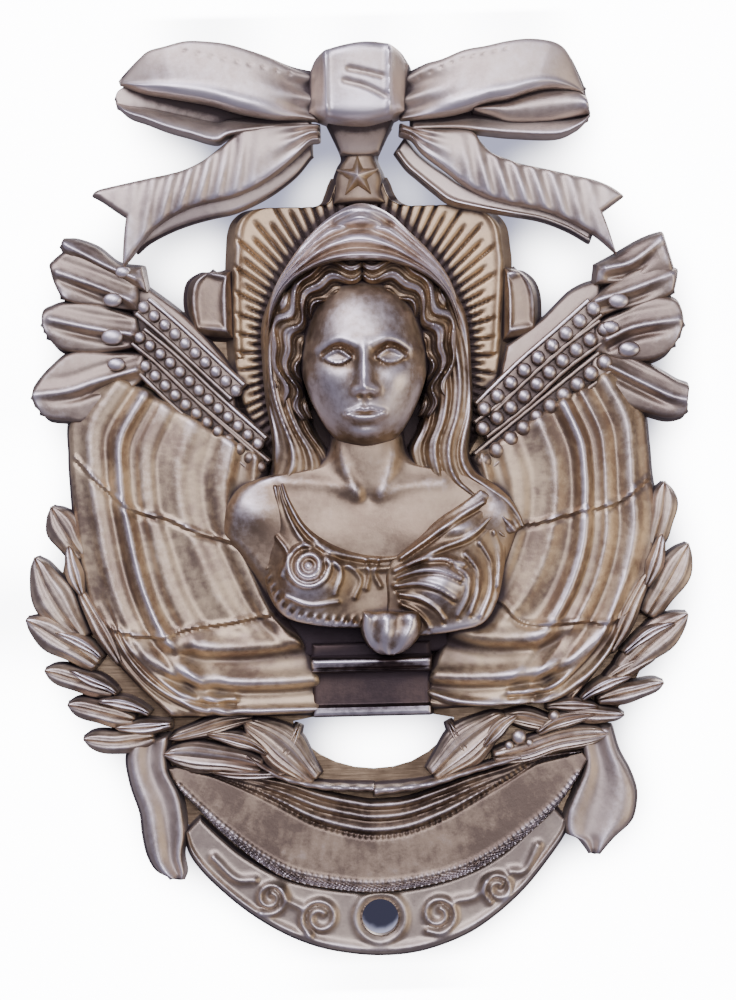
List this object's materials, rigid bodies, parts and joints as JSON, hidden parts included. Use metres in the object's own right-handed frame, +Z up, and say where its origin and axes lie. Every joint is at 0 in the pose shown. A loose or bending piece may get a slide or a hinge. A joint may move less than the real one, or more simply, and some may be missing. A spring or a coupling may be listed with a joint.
{
  "type": "cap badge",
  "caption": "Pressed brass cap badge: bow, sunburst, veiled bust, flags, laurel and banner in relief on a flat backing plate, with a hinged needle pin behind.",
  "frame": {"origin": "on the backing plate's rear face, midway between the flags, where the badge rests on the cap", "axes": "+X to the viewer's right, +Z up towards the bow, the face looks along -Y and the pin is on +Y"},
  "size_m": [0.0632, 0.0143, 0.0863],
  "materials": {
    "struck_brass": "aged pressed brass, dark brown in the recesses and worn bright on the high folds",
    "plate_brass": "dull brass sheet with fine scratches",
    "pin_steel": "drawn steel wire"
  },
  "bodies": {
    "badge": {"backing_plate": "plate_brass", "banner": "struck_brass", "bodice": "struck_brass", "bow_knot": "struck_brass", "bow_loop_left": "struck_brass", "bow_loop_right": "struck_brass", "bow_tail_left": "struck_brass", "bow_tail_right": "struck_brass", "cap": "struck_brass", "chest": "struck_brass", "flag_left": "struck_brass", "flag_right": "struck_brass", "flag_top_left": "struck_brass", "flag_top_right": "struck_brass", "hair": "struck_brass", "head": "struck_brass", "hinge_axle": "plate_brass", "hinge_base": "plate_brass", "laurel_left": "struck_brass", "laurel_right": "struck_brass", "lower_border": "struck_brass", "pin_catch": "plate_brass", "plinth": "struck_brass", "ribbon_end_left": "struck_brass", "ribbon_end_right": "struck_brass", "rivet_1": "plate_brass", "rivet_2": "plate_brass", "rivet_3": "plate_brass", "rivet_4": "plate_brass", "rod_left_1": "struck_brass", "rod_left_2": "struck_brass", "rod_left_3": "struck_brass", "rod_right_1": "struck_brass", "rod_right_2": "struck_brass", "rod_right_3": "struck_brass", "sash": "struck_brass", "spear_left_1": "struck_brass", "spear_left_2": "struck_brass", "spear_left_3": "struck_brass", "spear_left_4": "struck_brass", "spear_right_1": "struck_brass", "spear_right_2": "struck_brass", "spear_right_3": "struck_brass", "spear_right_4": "struck_brass", "sprig_left": "struck_brass", "sprig_right": "struck_brass", "star": "struck_brass", "stem": "struck_brass", "sunburst_panel": "struck_brass", "swag_left": "struck_brass", "swag_right": "struck_brass", "tablet_left": "struck_brass", "tablet_right": "struck_brass", "veil_left": "struck_brass", "veil_right": "struck_brass"},
    "pin": {"pin_needle": "pin_steel"}
  },
  "joints": [
    {"name": "pin_hinge", "type": "hinge", "parent": "badge", "child": "pin", "pos_m": [-0.0155, 0.0017, 0.008], "axis": [0, 0, 1], "range_deg": [0, 110]}
  ]
}
